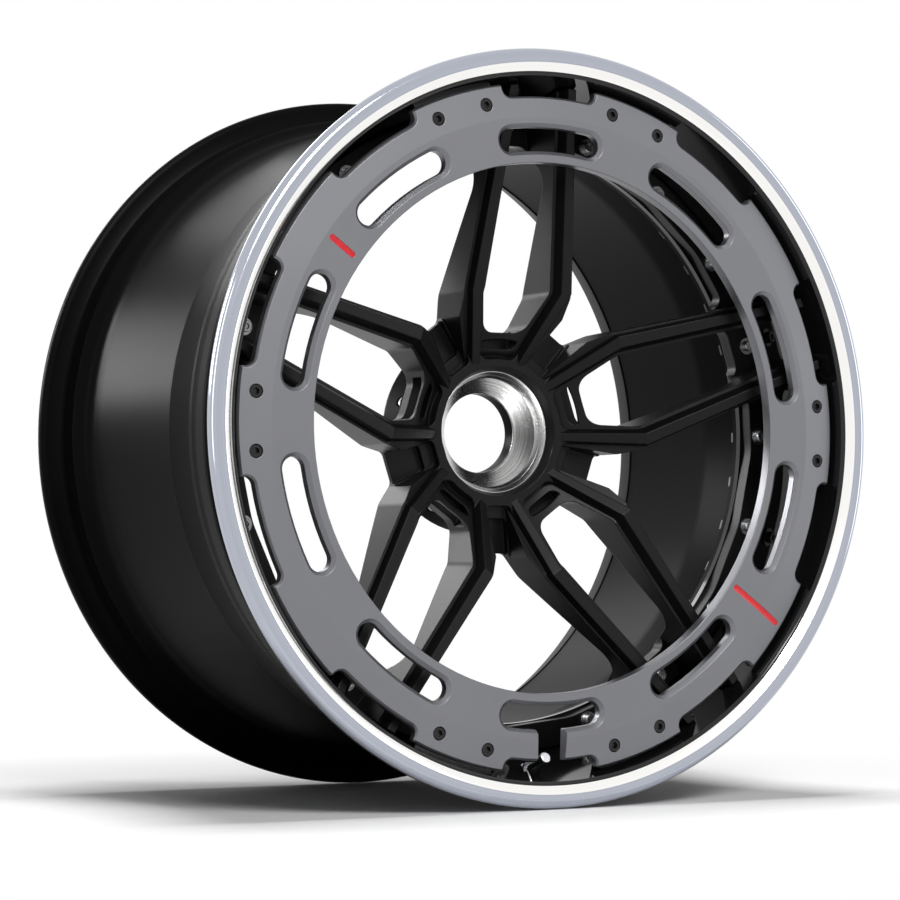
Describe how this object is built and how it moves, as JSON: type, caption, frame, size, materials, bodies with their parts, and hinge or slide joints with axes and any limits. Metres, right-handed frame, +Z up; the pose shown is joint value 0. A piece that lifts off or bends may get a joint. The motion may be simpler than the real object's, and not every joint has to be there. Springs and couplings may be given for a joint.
{
  "type": "wheel",
  "caption": "Forged multi-piece centre-lock wheel with paired spokes, a polished lip and a slotted aero ring bolted in front of the spokes",
  "frame": {"origin": "On the wheel axis, in the plane of the hub mounting face", "axes": "+Y along the wheel axis towards the vehicle, +Z up with the valve at the bottom, outboard face towards -Y"},
  "size_m": [0.568, 0.3336, 0.568],
  "materials": {
    "centre_satin_black": "satin",
    "lip_polished_and_gloss_black": "polished",
    "barrel_gloss_black": "gloss",
    "ring_satin_grey": "satin",
    "screw_black": "satin",
    "mark_red": "gloss",
    "insert_turned_steel": "brushed",
    "bolt_steel": "satin",
    "seal_rubber": "matte",
    "valve_chrome": "polished",
    "valve_brass": "satin"
  },
  "bodies": {
    "root": {"aero_ring": "ring_satin_grey", "aero_ring_screws": "screw_black", "assembly_bolts": "bolt_steel", "assembly_nuts": "bolt_steel", "assembly_washers": "bolt_steel", "centre_lock_insert": "insert_turned_steel", "drive_pin_bushes": "insert_turned_steel", "inner_barrel": "barrel_gloss_black", "outer_lip": "lip_polished_and_gloss_black", "rim_bolts": "bolt_steel", "rim_nuts": "bolt_steel", "rim_seal": "seal_rubber", "ring_mark_long": "mark_red", "ring_mark_short": "mark_red", "valve_cap": "valve_chrome", "valve_core": "valve_brass", "valve_nut": "valve_chrome", "valve_seal": "seal_rubber", "valve_stem": "valve_chrome", "valve_washer": "valve_chrome", "wheel_centre": "centre_satin_black"}
  },
  "joints": []
}
